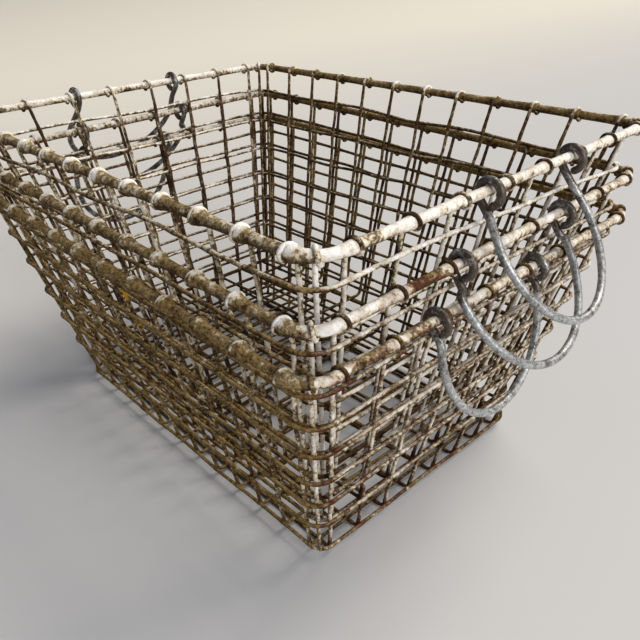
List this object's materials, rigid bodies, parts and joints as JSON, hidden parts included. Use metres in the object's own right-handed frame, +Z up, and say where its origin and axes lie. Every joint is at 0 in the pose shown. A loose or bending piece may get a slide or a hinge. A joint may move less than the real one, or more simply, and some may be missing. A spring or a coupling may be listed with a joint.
{
  "type": "nest of wire oyster baskets",
  "caption": "Nest of tapered rectangular wire baskets with a thick wire rim, open wire walls and a swinging D-shaped bail on each short end; each basket lifts out of the one below.",
  "frame": {"origin": "middle of the outline on the ground under the lower basket", "axes": "+Z up, +X along the long side of the baskets, +Y along the short side"},
  "size_m": [0.61, 0.3958, 0.3118],
  "materials": {
    "rim_wire": "chalky flaking whitewash on rusted steel",
    "wall_wire": "flaking whitewash on rusted steel",
    "handle_wire": "dull mottled galvanised steel"
  },
  "bodies": {
    "lower_basket": {"lower_rim": "rim_wire", "lower_cross_wires": "wall_wire", "lower_long_wire_1": "wall_wire", "lower_long_wire_2": "wall_wire", "lower_long_wire_3": "wall_wire", "lower_long_wire_4": "wall_wire", "lower_long_wire_5": "wall_wire", "lower_long_wire_6": "wall_wire", "lower_long_wire_7": "wall_wire", "lower_long_wire_8": "wall_wire", "lower_hoop_1": "wall_wire", "lower_hoop_2": "wall_wire", "lower_hoop_3": "wall_wire", "lower_hoop_4": "wall_wire", "lower_hoop_5": "wall_wire", "lower_hoop_6": "wall_wire"},
    "lower_handle_near": {"lower_handle_near": "handle_wire"},
    "lower_handle_far": {"lower_handle_far": "handle_wire"},
    "middle_basket": {"middle_rim": "rim_wire", "middle_cross_wires": "wall_wire", "middle_long_wire_1": "wall_wire", "middle_long_wire_2": "wall_wire", "middle_long_wire_3": "wall_wire", "middle_long_wire_4": "wall_wire", "middle_long_wire_5": "wall_wire", "middle_long_wire_6": "wall_wire", "middle_long_wire_7": "wall_wire", "middle_long_wire_8": "wall_wire", "middle_hoop_1": "wall_wire", "middle_hoop_2": "wall_wire", "middle_hoop_3": "wall_wire", "middle_hoop_4": "wall_wire", "middle_hoop_5": "wall_wire", "middle_hoop_6": "wall_wire"},
    "middle_handle_near": {"middle_handle_near": "handle_wire"},
    "middle_handle_far": {"middle_handle_far": "handle_wire"},
    "upper_basket": {"upper_rim": "rim_wire", "upper_cross_wires": "wall_wire", "upper_long_wire_1": "wall_wire", "upper_long_wire_2": "wall_wire", "upper_long_wire_3": "wall_wire", "upper_long_wire_4": "wall_wire", "upper_long_wire_5": "wall_wire", "upper_long_wire_6": "wall_wire", "upper_long_wire_7": "wall_wire", "upper_long_wire_8": "wall_wire", "upper_hoop_1": "wall_wire", "upper_hoop_2": "wall_wire", "upper_hoop_3": "wall_wire", "upper_hoop_4": "wall_wire", "upper_hoop_5": "wall_wire", "upper_hoop_6": "wall_wire"},
    "upper_handle_near": {"upper_handle_near": "handle_wire"},
    "upper_handle_far": {"upper_handle_far": "handle_wire"}
  },
  "joints": [
    {"name": "middle_lift", "type": "slide", "parent": "lower_basket", "child": "middle_basket", "axis": [0, 0, 1], "range_m": [0, 0.26]},
    {"name": "upper_lift", "type": "slide", "parent": "middle_basket", "child": "upper_basket", "axis": [0, 0, 1], "range_m": [0, 0.26]},
    {"name": "lower_handle_swing_near", "type": "hinge", "parent": "lower_basket", "child": "lower_handle_near", "pos_m": [0.24816, -0.02086, 0.22699], "axis": [0, -1, 0], "range_deg": [0, 20]},
    {"name": "lower_handle_swing_far", "type": "hinge", "parent": "lower_basket", "child": "lower_handle_far", "pos_m": [-0.24384, -0.02396, 0.22699], "axis": [0, 1, 0], "range_deg": [0, 15]},
    {"name": "middle_handle_swing_near", "type": "hinge", "parent": "middle_basket", "child": "middle_handle_near", "pos_m": [0.24764, 0.0035, 0.26028], "axis": [0.0035, -1, 0], "range_deg": [0, 20]},
    {"name": "middle_handle_swing_far", "type": "hinge", "parent": "middle_basket", "child": "middle_handle_far", "pos_m": [-0.24433, -0.00393, 0.25685], "axis": [-0.0035, 1, 0], "range_deg": [0, 15]},
    {"name": "upper_handle_swing_near", "type": "hinge", "parent": "upper_basket", "child": "upper_handle_near", "pos_m": [0.24664, 0.01649, 0.3014], "axis": [0.013, -0.9999, 0.0107], "range_deg": [0, 180]},
    {"name": "upper_handle_swing_far", "type": "hinge", "parent": "upper_basket", "child": "upper_handle_far", "pos_m": [-0.24498, -0.00733, 0.29134], "axis": [-0.013, 0.9999, -0.0107], "range_deg": [0, 180]}
  ]
}
